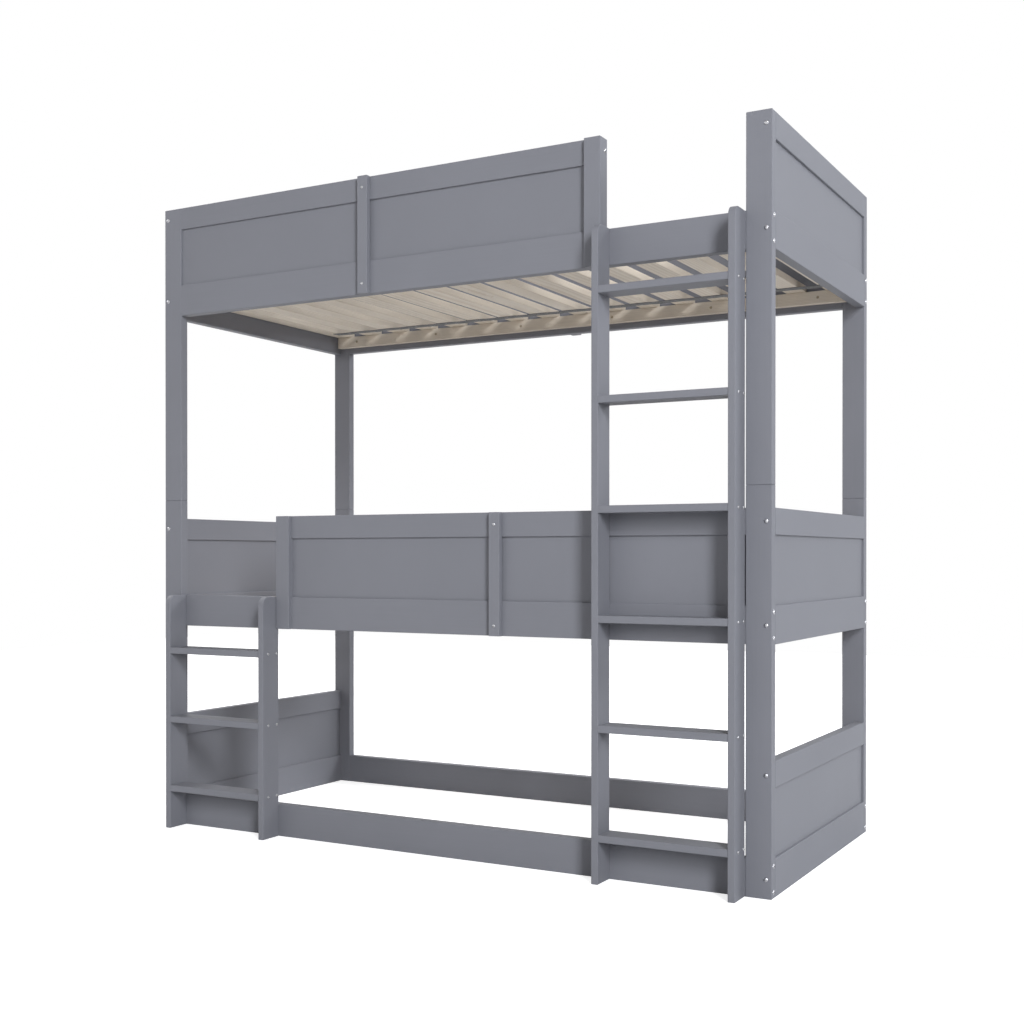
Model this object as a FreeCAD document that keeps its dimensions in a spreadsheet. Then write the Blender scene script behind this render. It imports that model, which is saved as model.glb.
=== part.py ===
import FreeCAD, Part
import math
import os
import re
import Sketcher

# A triple bunk bed for three mattresses of 90 by 200 cm, in painted timber of one thickness.
# Four corner posts, each of two stacked sections, carry three bunks. Every bunk has a framed
# end panel at each end and a side rail front and rear. The middle and top bunks also have
# framed guards, a slat deck on ledgers, and a fixed ladder at their entry gap.
# The origin is on the floor, in the middle of the whole bed with its ladders: +X runs along
# the mattress to the right end, -Y is the front with the ladders, and +Z is up.

os.makedirs("parts", exist_ok=True)
doc = FreeCAD.newDocument("triple_bunk_bed")
dims = doc.addObject("Spreadsheet::Sheet", "dims")

sizes = {
    # the space for a mattress between the rails, and the timber around it
    "bay_length": 2010,
    "bay_width": 900,
    "timber": 30,
    "post_width": 70,
    "edge_round": 2,
    # heights of the bunks above the floor, and of the joint between the post sections
    "middle_floor": 651,
    "top_floor": 1667,
    "post_joint": 1061,
    # the framed panels, from the base rail up to the cap rail
    "base_rail": 100,
    "panel_opening": 182,
    "cap_rail": 70,
    "panel_thickness": 16,
    "groove_depth": 8,
    "groove_play": 0.3,
    "panel_play": 2,
    # the guards of the middle and top bunks
    "entry_gap": 406,
    "stile_width": 50,
    "stile_proud": 15,
    "batten_width": 35,
    "batten_proud": 18,
    # the slat decks: ledgers on the side rails, slats across them, tapes under the slats
    "ledger_height": 41,
    "ledger_thickness": 22,
    "ledger_lift": 19,
    "ledger_left_gap": 3,
    "ledger_right_gap": 25,
    "slat_width": 63,
    "slat_thickness": 22,
    "slat_round": 2,
    "slat_count": 16,
    "slat_end_margin": 1.5,
    "slat_side_gap": 3,
    "tape_width": 38,
    "tape_thickness": 1.6,
    "tape_ledger_gap": 54,
    "tape_inset": 43,
    # the two ladders
    "ladder_play": 1.5,
    "ladder_board": 20,
    "ladder_depth": 75,
    "ladder_round": 25,
    "rung_thickness": 20,
    "tall_rung_count": 6,
    "tall_first_rung": 113.5,
    "tall_rung_rise": 293.2,
    "small_rung_count": 3,
    "small_first_rung": 119,
    "small_rung_rise": 222.5,
    # domed bolts that pull the rails onto the posts, and the threaded sleeves in the rails' ends
    "bolt_diameter": 6,
    "bolt_head_diameter": 12.5,
    "bolt_head_height": 3.5,
    "socket_width": 4.6,
    "socket_depth": 2,
    "bolt_past_nut": 6,
    "side_bolt_spread": 67,
    "nut_diameter": 10,
    "nut_length": 20,
    "nut_setback": 1,
    # dowels in the guard rails and pins in the post joints
    "dowel_diameter": 8,
    "dowel_reach": 20,
    "dowel_spread": 36,
    "pin_diameter": 12,
    "pin_reach": 35,
    "pin_spread": 34,
    "pin_chamfer": 1,
    # pan-head screws
    "screw_diameter": 4.5,
    "screw_head_diameter": 9,
    "screw_head_height": 2.4,
    "screw_tip": 6,
    "recess_length": 4.8,
    "recess_width": 1.2,
    "recess_depth": 1.4,
    "batten_screw": 40,
    "batten_screw_lift": 29,
    "stile_screw": 38,
    "stile_screw_inset": 12,
    "ledger_screw": 42,
    "ledger_screw_count": 6,
    "ledger_screw_inset": 88.5,
    "rung_screw": 60,
    "rung_screw_inset": 25,
    "rung_screw_pitch": 41,
    "ladder_screw": 60,
    "ladder_screw_lift": 74,
    # clearance round everything that goes into a bore, and how far a cut runs past a face
    "bore_play": 0.25,
    "overrun": 5,
}
for row, (alias, size) in enumerate(sizes.items(), start=1):
    dims.set(f"A{row}", alias)
    dims.set(f"B{row}", str(size))
    dims.setAlias(f"B{row}", alias)
doc.recompute()

# Planes of the bed, as sums of the named sizes
post_outer = "(bay_length / 2 + timber)"
post_inner = "(bay_length / 2 + timber - post_width)"
end_inner = "(bay_length / 2)"
side_inner = "(bay_width / 2)"
side_outer = "(bay_width / 2 + timber)"
middle_y = "((ladder_depth - batten_proud - screw_head_height) / 2)"
panel_top = "(base_rail + panel_opening)"
end_height = "(base_rail + panel_opening + cap_rail)"
guard_end = "(bay_length / 2 + timber - post_width - entry_gap - stile_width)"
stile_end = "(bay_length / 2 + timber - post_width - entry_gap)"
slat_seat = "(ledger_lift + ledger_height)"
ladder_front = "(bay_width / 2 + timber + ladder_depth)"

ends = {"left": -1, "right": 1}
sides = {"front": -1, "rear": 1}
floors = {"bottom": "0", "middle": "middle_floor", "top": "top_floor"}
guarded = {"middle": "middle_floor", "top": "top_floor"}
# the end where each guarded bunk is entered through a gap in its front guard
entry_ends = {"middle": -1, "top": 1}

headings = {
    "+X": FreeCAD.Vector(1, 0, 0),
    "-X": FreeCAD.Vector(-1, 0, 0),
    "+Y": FreeCAD.Vector(0, 1, 0),
    "-Y": FreeCAD.Vector(0, -1, 0),
    "+Z": FreeCAD.Vector(0, 0, 1),
    "-Z": FreeCAD.Vector(0, 0, -1),
}
box_edges = {"x": (9, 10, 11, 12), "y": (2, 4, 6, 8), "z": (1, 3, 5, 7)}
pieces = []


def bind(item, **sums):
    """Tie an object's properties to sums of the named sizes."""
    for place, total in sums.items():
        item.setExpression(place, re.sub(r"[a-z_]+", lambda word: "dims." + word.group(), total))


def put(item, point):
    """Tie an object's place to a point given as three sums."""
    bind(item, **{f"Placement.Base.{letter}": total for letter, total in zip("xyz", point)})


def at_end(end, distance):
    """The plane at a distance from the middle of the bed's length, to one end."""
    return f"{end} * ({distance})"


def at_side(side, distance):
    """The plane at a distance from the middle of the bed's width, to one side."""
    return f"{middle_y} + {side} * ({distance})"


def lengthwise(end, near, far):
    """The low and high planes of a stretch along the bed, on one side of its middle."""
    return at_end(end, near if end > 0 else far), at_end(end, far if end > 0 else near)


def across(side, near, far):
    """The low and high planes of a stretch across the bed, on one side of its middle."""
    return at_side(side, near if side > 0 else far), at_side(side, far if side > 0 else near)


def toward(letter, side):
    """The heading along an axis, to its high side or its low side."""
    return ("+" if side > 0 else "-") + letter


def moved(point, heading, distance):
    """A point moved along a heading."""
    sign, letter = heading
    place = "XYZ".index(letter)
    total = f"{point[place]} {sign} ({distance})"
    return tuple(total if index == place else part for index, part in enumerate(point))


def block(x, y, z):
    """A box between two planes on each axis."""
    box = doc.addObject("Part::Box", "block")
    bind(box, Length=f"({x[1]}) - ({x[0]})")
    bind(box, Width=f"({y[1]}) - ({y[0]})")
    bind(box, Height=f"({z[1]}) - ({z[0]})")
    put(box, (x[0], y[0], z[0]))
    return box


def board(x, y, z, grain):
    """A planed board with the edges along its grain eased, or all its edges for grain xyz."""
    box = block(x, y, z)
    eased = doc.addObject("Part::Fillet", "eased")
    eased.Base = box
    eased.Edges = [(edge, dims.edge_round, dims.edge_round) for way in grain for edge in box_edges[way]]
    return eased


def bore(point, heading, diameter, depth):
    """A drilled hole from a point on a face, along a heading, with play all round."""
    hole = doc.addObject("Part::Cylinder", "bore")
    hole.Placement.Rotation = FreeCAD.Rotation(headings["+Z"], headings[heading])
    bind(hole, Radius=f"{diameter} / 2 + bore_play", Height=f"{depth} + overrun")
    put(hole, moved(point, heading, "-overrun"))
    return hole


def fused(items):
    """Several bodies as one."""
    if len(items) == 1:
        return items[0]
    whole = doc.addObject("Part::MultiFuse", "fused")
    whole.Shapes = items
    return whole


def less(body, cuts):
    """A body with its bores and grooves cut away."""
    rest = doc.addObject("Part::Cut", "rest")
    rest.Base = body
    rest.Tool = fused(cuts)
    return rest


def finish(label, body):
    """Name a finished piece."""
    body.Label = label
    pieces.append(body)


def group(label, members):
    """Like pieces kept together under one name, each still a solid of its own."""
    whole = doc.addObject("Part::Compound", label)
    whole.Links = members
    finish(label, whole)


def copy_at(master, point, rotation):
    """A copy of a fastener, turned and set at a point."""
    copy = doc.addObject("App::Link", "copy")
    copy.LinkedObject = master
    copy.Placement = FreeCAD.Placement(FreeCAD.Vector(), rotation)
    put(copy, point)
    return copy


def driven(master, point, heading):
    """A bolt or screw with its head seated at a point and its shank along a heading."""
    return copy_at(master, point, FreeCAD.Rotation(headings["-Z"], headings[heading]))


def plane_of(body, role):
    """An origin plane or axis of a body."""
    return next(item for item in body.Origin.OriginFeatures if item.Role == role)


def sketch_on(body, role):
    """An empty sketch on one of the body's own planes."""
    sketch = body.newObject("Sketcher::SketchObject", "outline")
    sketch.AttachmentSupport = [(plane_of(body, role), "")]
    sketch.MapMode = "FlatFace"
    return sketch


def eased_rectangle(sketch, width, height, radius):
    """An upright rectangle from the sketch's origin, with its corners rounded."""
    wide, high, bend = (getattr(dims, alias) for alias in (width, height, radius))
    turn = FreeCAD.Vector(0, 0, 1)
    corners = [(wide - bend, bend), (wide - bend, high - bend), (bend, high - bend), (bend, bend)]
    starts = [(bend, 0), (wide, bend), (wide - bend, high), (0, high - bend)]
    stops = [(wide - bend, 0), (wide, high - bend), (bend, high), (0, bend)]
    quarter = math.pi / 2
    for index in range(4):
        line = Part.LineSegment(FreeCAD.Vector(*starts[index], 0), FreeCAD.Vector(*stops[index], 0))
        circle = Part.Circle(FreeCAD.Vector(*corners[index], 0), turn, bend)
        sketch.addGeometry(line)
        sketch.addGeometry(Part.ArcOfCircle(circle, (index - 1) * quarter, index * quarter))
    for index in range(4):
        line = 2 * index
        arc = line + 1
        following = (line + 2) % 8
        sketch.addConstraint(Sketcher.Constraint("Tangent", line, 2, arc, 1))
        sketch.addConstraint(Sketcher.Constraint("Tangent", arc, 2, following, 1))
        sketch.addConstraint(Sketcher.Constraint(("Horizontal", "Vertical")[index % 2], line))
    for arc in (3, 5, 7):
        sketch.addConstraint(Sketcher.Constraint("Equal", 1, arc))
    sketch.addConstraint(Sketcher.Constraint("PointOnObject", 0, 1, -1))
    sketch.addConstraint(Sketcher.Constraint("PointOnObject", 6, 1, -2))
    named = {
        "round": Sketcher.Constraint("Radius", 1, bend),
        "wide": Sketcher.Constraint("DistanceX", 6, 1, 2, 1, wide),
        "high": Sketcher.Constraint("DistanceY", 0, 1, 4, 1, high),
    }
    for name, constraint in named.items():
        sketch.renameConstraint(sketch.addConstraint(constraint), name)
    bind(sketch, **{"Constraints.round": radius, "Constraints.wide": width, "Constraints.high": height})


def repeated(body, pad, role, count, total):
    """A row of copies of the body's first solid along one of its axes."""
    pattern = body.newObject("PartDesign::LinearPattern", "row")
    pattern.Originals = [pad]
    pattern.Direction = (plane_of(body, role), [""])
    bind(pattern, Length=total, Occurrences=count)
    body.Tip = pattern


# Fasteners, drawn once each with the head's seat at the origin and the shank down -Z

def bolt(length):
    """A machine bolt with a low domed head and a hexagon socket."""
    shank = doc.addObject("Part::Cylinder", "shank")
    bind(shank, Radius="bolt_diameter / 2", Height=length)
    put(shank, ("0", "0", f"-({length})"))
    head = doc.addObject("Part::Ellipsoid", "head")
    head.Angle1 = 0
    bind(head, Radius1="bolt_head_height", Radius2="bolt_head_diameter / 2")
    bind(head, Radius3="bolt_head_diameter / 2")
    socket = doc.addObject("Part::Prism", "socket")
    bind(socket, Circumradius="socket_width / 2", Height="socket_depth + overrun")
    put(socket, ("0", "0", "bolt_head_height - socket_depth"))
    return less(fused([shank, head]), [socket])


def screw(length):
    """A pan-head wood screw with a pointed tip and a cross recess."""
    shank = doc.addObject("Part::Cylinder", "shank")
    bind(shank, Radius="screw_diameter / 2", Height=f"{length} - screw_tip")
    put(shank, ("0", "0", f"screw_tip - ({length})"))
    tip = doc.addObject("Part::Cone", "tip")
    bind(tip, Radius1="0", Radius2="screw_diameter / 2", Height="screw_tip")
    put(tip, ("0", "0", f"-({length})"))
    head = doc.addObject("Part::Ellipsoid", "head")
    head.Angle1 = 0
    bind(head, Radius1="screw_head_height", Radius2="screw_head_diameter / 2")
    bind(head, Radius3="screw_head_diameter / 2")
    long_way = ("-recess_length / 2", "recess_length / 2")
    short_way = ("-recess_width / 2", "recess_width / 2")
    deep = ("screw_head_height - recess_depth", "screw_head_height + overrun")
    recess = [block(long_way, short_way, deep), block(short_way, long_way, deep)]
    return less(fused([shank, tip, head]), recess)


def round_rod(diameter, reach):
    """A dowel or pin centred on the origin, its ends chamfered."""
    rod = doc.addObject("Part::Cylinder", "rod")
    bind(rod, Radius=f"{diameter} / 2", Height=f"2 * {reach}")
    put(rod, ("0", "0", f"-{reach}"))
    pointed = doc.addObject("Part::Chamfer", "pointed")
    pointed.Base = rod
    pointed.Edges = [(edge, dims.pin_chamfer, dims.pin_chamfer) for edge in (1, 3)]
    return pointed


def insert_nut():
    """A threaded sleeve with its mouth at the origin, down -Z."""
    sleeve = doc.addObject("Part::Cylinder", "sleeve")
    bind(sleeve, Radius="nut_diameter / 2", Height="nut_length")
    put(sleeve, ("0", "0", "-nut_length"))
    return less(sleeve, [bore(("0", "0", "0"), "-Z", "bolt_diameter", "nut_length + overrun")])


grip = "nut_setback + nut_length"
side_bolt = bolt(f"post_width + {grip} + bolt_past_nut")
end_bolt = bolt(f"timber + {grip} + bolt_past_nut")
stile_bolt = bolt(f"stile_width + {grip} + bolt_past_nut")
nut = insert_nut()
dowel = round_rod("dowel_diameter", "dowel_reach")
pin = round_rod("pin_diameter", "pin_reach")
end_line = "(bay_length / 2 + timber / 2)"
side_line = "(bay_width / 2 + timber / 2)"
fasteners = {"end_rail_bolts": [], "side_rail_bolts": [], "guard_stile_bolts": [], "insert_nuts": []}


def bolted(bolt_master, seat, heading, through):
    """A bolt seated at a point, and its sleeve in the rail's end beyond what the bolt passes through."""
    mouth = moved(seat, heading, f"{through} + nut_setback")
    fasteners["insert_nuts"].append(driven(nut, mouth, heading))
    return driven(bolt_master, seat, heading)


def rail_end_bores(mouth, heading):
    """The stepped bore in a rail's end that takes a sleeve and the bolt's tip."""
    tip = bore(mouth, heading, "bolt_diameter", f"{grip} + bolt_past_nut + overrun")
    return [bore(mouth, heading, "nut_diameter", grip), tip]


def centre_y(side):
    """The middle of the timber of a side rail, a guard or a post."""
    return at_side(side, side_line)


def centre_x(end):
    """The middle of the timber of an end rail or an end panel."""
    return at_end(end, end_line)


def side_bolt_heights(floor):
    """The heights of the two bolts that hold one end of a side rail."""
    middle = f"{floor} + base_rail / 2"
    return f"{middle} - side_bolt_spread / 2", f"{middle} + side_bolt_spread / 2"


def end_bolt_heights(floor):
    """The heights of the bolts in an end's base rail and cap rail."""
    return f"{floor} + base_rail / 2", f"{floor} + {panel_top} + cap_rail / 2"


def panel_slot(middle):
    """The low and high sides of the groove that holds a panel's edge."""
    half = "(panel_thickness / 2 + groove_play)"
    return f"{middle} - {half}", f"{middle} + {half}"


def groove_heights(floor):
    """The heights between which a post or stile is grooved for a panel."""
    return f"{floor} + base_rail - groove_depth", f"{floor} + {panel_top} + groove_depth"


def panel_heights(floor):
    """A panel stands on the floor of the lower groove, with play in the upper one."""
    return f"{floor} + base_rail - groove_depth", f"{floor} + {panel_top} + groove_depth - panel_play"


def dowel_heights(floor):
    """The heights of the two dowels in the end of a guard's cap rail."""
    middle = f"{floor} + {panel_top} + cap_rail / 2"
    return f"{middle} - dowel_spread / 2", f"{middle} + dowel_spread / 2"


# Corner posts: two stacked sections at each corner, pinned at the joint. The bolts of the
# end rails pass through them front to rear, and the bolts of the side rails end to end.

dowels = []
pins = []
for side_name, side in sides.items():
    for end_name, end in ends.items():
        for section in ("lower", "upper"):
            carried = {"lower": ("bottom", "middle"), "upper": ("top",)}[section]
            foot = {"lower": "0", "upper": "post_joint"}[section]
            head = {"lower": "post_joint", "upper": f"top_floor + {end_height}"}[section]
            wide = lengthwise(end, post_inner, post_outer)
            post = board(wide, across(side, side_inner, side_outer), (foot, head), "xyz")
            cuts = []
            for floor_name in carried:
                floor = floors[floor_name]
                outer_y = at_side(side, side_outer)
                outer_x = at_end(end, post_outer)
                inner_x = at_end(end, post_inner)
                for height in end_bolt_heights(floor):
                    seat = (centre_x(end), outer_y, height)
                    inward = toward("Y", -side)
                    cuts.append(bore(seat, inward, "bolt_diameter", "timber + overrun"))
                    fasteners["end_rail_bolts"].append(bolted(end_bolt, seat, inward, "timber"))
                for height in side_bolt_heights(floor):
                    seat = (outer_x, centre_y(side), height)
                    inward = toward("X", -end)
                    cuts.append(bore(seat, inward, "bolt_diameter", "post_width + overrun"))
                    fasteners["side_rail_bolts"].append(bolted(side_bolt, seat, inward, "post_width"))
                slot = panel_slot(centre_x(end))
                mouth = across(side, f"{side_inner} - overrun", f"{side_inner} + groove_depth")
                cuts.append(block(slot, mouth, groove_heights(floor)))
                meets_guard = floor_name in guarded and (side > 0 or end != entry_ends[floor_name])
                if meets_guard:
                    slot = panel_slot(centre_y(side))
                    mouth = lengthwise(end, f"{post_inner} - overrun", f"{post_inner} + groove_depth")
                    cuts.append(block(mouth, slot, groove_heights(floor)))
                    for height in dowel_heights(floor):
                        place = (inner_x, centre_y(side), height)
                        cuts.append(bore(place, toward("X", end), "dowel_diameter", "dowel_reach"))
                        dowels.append(copy_at(dowel, place, FreeCAD.Rotation(headings["+Z"], headings["+X"])))
            for shift in ("-", "+"):
                pin_x = at_end(end, f"{post_outer} - post_width / 2 {shift} pin_spread / 2")
                place = (pin_x, centre_y(side), "post_joint")
                cuts.append(bore(place, {"lower": "-Z", "upper": "+Z"}[section], "pin_diameter", "pin_reach"))
                if section == "lower":
                    pins.append(copy_at(pin, place, FreeCAD.Rotation()))
            finish(f"{side_name}_{end_name}_{section}_post", less(post, cuts))

# Framed ends: a base rail and a cap rail between the posts at each end of each bunk, bolted
# at both ends, with a panel standing in their grooves and in the posts.

for end_name, end in ends.items():
    panels = []
    for floor_name, floor in floors.items():
        thick = lengthwise(end, end_inner, post_outer)
        wide = (f"{middle_y} - {side_inner}", f"{middle_y} + {side_inner}")
        slot = panel_slot(centre_x(end))
        base_height, cap_height = end_bolt_heights(floor)
        base_slot = (f"{floor} + base_rail - groove_depth", f"{floor} + base_rail + overrun")
        cap_slot = (f"{floor} + {panel_top} - overrun", f"{floor} + {panel_top} + groove_depth")
        rails = {
            "base": ((floor, f"{floor} + base_rail"), base_height, base_slot),
            "cap": ((f"{floor} + {panel_top}", f"{floor} + {end_height}"), cap_height, cap_slot),
        }
        for rail_name, (tall, height, groove) in rails.items():
            cuts = [block(slot, (f"{wide[0]} - overrun", f"{wide[1]} + overrun"), groove)]
            for side in sides.values():
                mouth = (centre_x(end), at_side(side, side_inner), height)
                cuts += rail_end_bores(mouth, toward("Y", -side))
            finish(f"{floor_name}_{end_name}_{rail_name}_rail", less(board(thick, wide, tall, "y"), cuts))
        reach = "groove_depth - panel_play"
        panel_x = (f"{centre_x(end)} - panel_thickness / 2", f"{centre_x(end)} + panel_thickness / 2")
        panel_y = (f"{wide[0]} - ({reach})", f"{wide[1]} + {reach}")
        panels.append(block(panel_x, panel_y, panel_heights(floor)))
    group(f"{end_name}_end_panels", panels)

# Guards of the middle and top bunks: a cap rail over a panel that stands in the side rail.
# The rear guards run from post to post. Each front guard stops at a notched stile that laps
# the side rail and leaves the entry gap. A batten covers the middle of every guard.

batten_screw = screw("batten_screw")
stile_screw = screw("stile_screw")
guard_screws = []
battens = {"front": [], "rear": []}
batten_fixings = {}
stile_fixings = {}
guard_slots = {}
for floor_name, floor in guarded.items():
    for side_name, side in sides.items():
        entry = entry_ends[floor_name]
        if side > 0:
            long = (f"-{post_inner}", post_inner)
            batten_middle = "0"
            dowelled = tuple(ends.values())
        else:
            long = lengthwise(entry, f"-{post_inner}", guard_end)
            batten_middle = at_end(entry, f"({guard_end} - {post_inner}) / 2")
            dowelled = (-entry,)
        thick = across(side, side_inner, side_outer)
        slot = panel_slot(centre_y(side))
        guard_slots[floor_name, side_name] = (long, slot)
        along = (f"{long[0]} - overrun", f"{long[1]} + overrun")
        groove = (f"{floor} + {panel_top} - overrun", f"{floor} + {panel_top} + groove_depth")
        cuts = [block(along, slot, groove)]
        for end in dowelled:
            for height in dowel_heights(floor):
                place = (at_end(end, post_inner), centre_y(side), height)
                cuts.append(bore(place, toward("X", -end), "dowel_diameter", "dowel_reach"))
        outer_y = at_side(side, f"{side_outer} + batten_proud")
        face_y = at_side(side, side_outer)
        batten_x = (f"{batten_middle} - batten_width / 2", f"{batten_middle} + batten_width / 2")
        batten_y = across(side, side_outer, f"{side_outer} + batten_proud")
        through = []
        base_height = f"{floor} + batten_screw_lift"
        cap_height = end_bolt_heights(floor)[1]
        for height in (base_height, cap_height):
            seat = (batten_middle, outer_y, height)
            through.append(bore(seat, toward("Y", -side), "screw_diameter", "batten_proud + overrun"))
            guard_screws.append(driven(batten_screw, seat, toward("Y", -side)))
        pilot = "batten_screw - batten_proud"
        cuts.append(bore((batten_middle, face_y, cap_height), toward("Y", -side), "screw_diameter", pilot))
        batten_fixings[floor_name, side_name] = (batten_middle, face_y, base_height)
        batten = board(batten_x, batten_y, (floor, f"{floor} + {end_height}"), "z")
        battens[side_name].append(less(batten, through))
        if side < 0:
            seat_x = at_end(entry, stile_end)
            mouth_x = at_end(entry, guard_end)
            seat = (seat_x, centre_y(side), cap_height)
            inward = toward("X", -entry)
            cuts += rail_end_bores((mouth_x, centre_y(side), cap_height), inward)
            inner_y = at_side(side, side_inner)
            fasteners["guard_stile_bolts"].append(bolted(stile_bolt, seat, inward, "stile_width"))
            stile_x = lengthwise(entry, guard_end, stile_end)
            stile_y = across(side, side_inner, f"{side_outer} + stile_proud")
            stile = board(stile_x, stile_y, (floor, f"{floor} + {end_height}"), "xyz")
            lap_x = (f"{stile_x[0]} - overrun", f"{stile_x[1]} + overrun")
            lap_y = across(side, f"{side_inner} - overrun", side_outer)
            lap = block(lap_x, lap_y, (f"{floor} - overrun", f"{floor} + base_rail"))
            slot_x = lengthwise(entry, f"{guard_end} - overrun", f"{guard_end} + groove_depth")
            stile_groove = block(slot_x, slot, groove_heights(floor))
            stile_bore = bore(seat, inward, "bolt_diameter", "stile_width + overrun")
            lip_cuts = []
            stile_middle = f"({stile_x[0]} + {stile_x[1]}) / 2"
            fixings = []
            for height in (f"{floor} + stile_screw_inset", f"{floor} + base_rail - stile_screw_inset"):
                fixings.append((stile_middle, inner_y, height))
                seat = moved(fixings[-1], toward("Y", side), "screw_head_height")
                guard_screws.append(driven(stile_screw, seat, toward("Y", side)))
                lip_cuts.append(bore(seat, toward("Y", side), "screw_diameter", "stile_screw"))
            stile_fixings[floor_name] = fixings
            finish(f"{floor_name}_front_guard_stile", less(stile, [lap, stile_groove, stile_bore] + lip_cuts))
        cap_tall = (f"{floor} + {panel_top}", f"{floor} + {end_height}")
        finish(f"{floor_name}_{side_name}_guard_rail", less(board(long, thick, cap_tall, "x"), cuts))
        reach = "groove_depth - panel_play"
        panel_x = (f"{long[0]} - ({reach})", f"{long[1]} + {reach}")
        panel_y = (f"{centre_y(side)} - panel_thickness / 2", f"{centre_y(side)} + panel_thickness / 2")
        panel = block(panel_x, panel_y, panel_heights(floor))
        finish(f"{floor_name}_{side_name}_guard_panel", panel)
for side_name, members in battens.items():
    group(f"{side_name}_guard_battens", members)

# Ladders: two upright boards with a rounded top corner, standing on the floor against the
# front rails, with flat treads screwed between them.

ladder_screw = screw("ladder_screw")
rung_screw = screw("rung_screw")
ladder_screws = []
ladder_fixings = {"bottom": [], "middle": [], "top": []}
ladders = {
    "tall": (1, "top", "top_floor + base_rail"),
    "small": (-1, "middle", "middle_floor + base_rail"),
}


def ladder_upright(x_low, height):
    """An upright: the outline of its side padded to the board's thickness, then eased."""
    body = doc.addObject("PartDesign::Body", "upright")
    outline = sketch_on(body, "YZ_Plane")
    deep = dims.ladder_depth
    bend = dims.ladder_round
    tall = 2 * deep
    quarter = math.pi / 2
    corner = [(0, 0), (deep, 0), (deep, tall), (bend, tall), (0, tall - bend)]
    vertex = [FreeCAD.Vector(*place, 0) for place in corner]
    for start, stop in ((0, 1), (1, 2), (2, 3), (4, 0)):
        outline.addGeometry(Part.LineSegment(vertex[start], vertex[stop]))
    circle = Part.Circle(FreeCAD.Vector(bend, tall - bend, 0), headings["+Z"], bend)
    outline.addGeometry(Part.ArcOfCircle(circle, quarter, 2 * quarter))
    for constraint in (
        Sketcher.Constraint("Coincident", 0, 1, -1, 1),
        Sketcher.Constraint("Coincident", 0, 2, 1, 1),
        Sketcher.Constraint("Coincident", 1, 2, 2, 1),
        Sketcher.Constraint("Coincident", 3, 2, 0, 1),
        Sketcher.Constraint("Tangent", 2, 2, 4, 1),
        Sketcher.Constraint("Tangent", 4, 2, 3, 1),
        Sketcher.Constraint("Horizontal", 0),
        Sketcher.Constraint("Horizontal", 2),
        Sketcher.Constraint("Vertical", 1),
        Sketcher.Constraint("Vertical", 3),
    ):
        outline.addConstraint(constraint)
    named = {
        "deep": Sketcher.Constraint("DistanceX", 0, 1, 0, 2, deep),
        "tall": Sketcher.Constraint("DistanceY", 1, 1, 1, 2, tall),
        "bend": Sketcher.Constraint("Radius", 4, bend),
    }
    for name, constraint in named.items():
        outline.renameConstraint(outline.addConstraint(constraint), name)
    bind(outline, **{"Constraints.deep": "ladder_depth", "Constraints.tall": height})
    bind(outline, **{"Constraints.bend": "ladder_round"})
    pad = body.newObject("PartDesign::Pad", "pad")
    pad.Profile = outline
    bind(pad, Length="ladder_board")
    doc.recompute()
    edges = enumerate(pad.Shape.Edges, start=1)
    eased = body.newObject("PartDesign::Fillet", "eased")
    eased.Base = (pad, [f"Edge{index}" for index, edge in edges if edge.BoundBox.XLength < dims.edge_round])
    bind(eased, Radius="edge_round")
    body.Tip = eased
    put(body, (x_low, f"{middle_y} - {ladder_front}", "0"))
    return body


for ladder_name, (end, floor_name, height) in ladders.items():
    near = f"({stile_end} + ladder_play)"
    far = f"({post_inner} - ladder_play)"
    low, high = lengthwise(end, near, far)
    front_y = f"{middle_y} - {ladder_front}"
    count = f"{ladder_name}_rung_count"
    first = f"{ladder_name}_first_rung"
    rise = f"{ladder_name}_rung_rise"
    rung_cuts = []
    stands = {"left": (low, f"{low} + ladder_board", -1), "right": (f"{high} - ladder_board", high, 1)}
    for stand_name, (stand_low, stand_high, outward) in stands.items():
        cuts = []
        outer_x = stand_high if outward > 0 else stand_low
        for rung in range(int(getattr(dims, count))):
            rung_middle = f"{first} + rung_thickness / 2 + {rung} * {rise}"
            for depth in ("rung_screw_inset", "rung_screw_inset + rung_screw_pitch"):
                seat = (outer_x, f"{front_y} + {depth}", rung_middle)
                inward = toward("X", -outward)
                cuts.append(bore(seat, inward, "screw_diameter", "ladder_board + overrun"))
                inner = moved(seat, inward, "ladder_board")
                rung_cuts.append(bore(inner, inward, "screw_diameter", "rung_screw - ladder_board"))
                ladder_screws.append(driven(rung_screw, seat, inward))
        stand_middle = f"({stand_low} + {stand_high}) / 2"
        back_y = at_side(-1, side_outer)
        inner_y = at_side(-1, side_inner)
        for fixed_floor, lift in ((floor_name, "ladder_screw_lift"), ("bottom", "base_rail / 2")):
            fixing = (stand_middle, inner_y, f"{floors[fixed_floor]} + {lift}")
            ladder_fixings[fixed_floor].append(fixing)
            seat = moved(fixing, "-Y", "screw_head_height")
            ladder_screws.append(driven(ladder_screw, seat, "-Y"))
            pilot = "ladder_screw + screw_head_height - timber"
            cuts.append(bore((stand_middle, back_y, fixing[2]), "-Y", "screw_diameter", pilot))
        upright = ladder_upright(stand_low, height)
        finish(f"{ladder_name}_ladder_{stand_name}_upright", less(upright, cuts))
    treads = doc.addObject("PartDesign::Body", "treads")
    outline = sketch_on(treads, "YZ_Plane")
    eased_rectangle(outline, "ladder_depth", "rung_thickness", "edge_round")
    pad = treads.newObject("PartDesign::Pad", "pad")
    pad.Profile = outline
    bind(pad, Length=f"{far} - {near} - 2 * ladder_board")
    repeated(treads, pad, "Z_Axis", count, f"{rise} * ({count} - 1)")
    put(treads, (f"{low} + ladder_board", front_y, first))
    finish(f"{ladder_name}_ladder_rungs", less(treads, rung_cuts))

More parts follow.
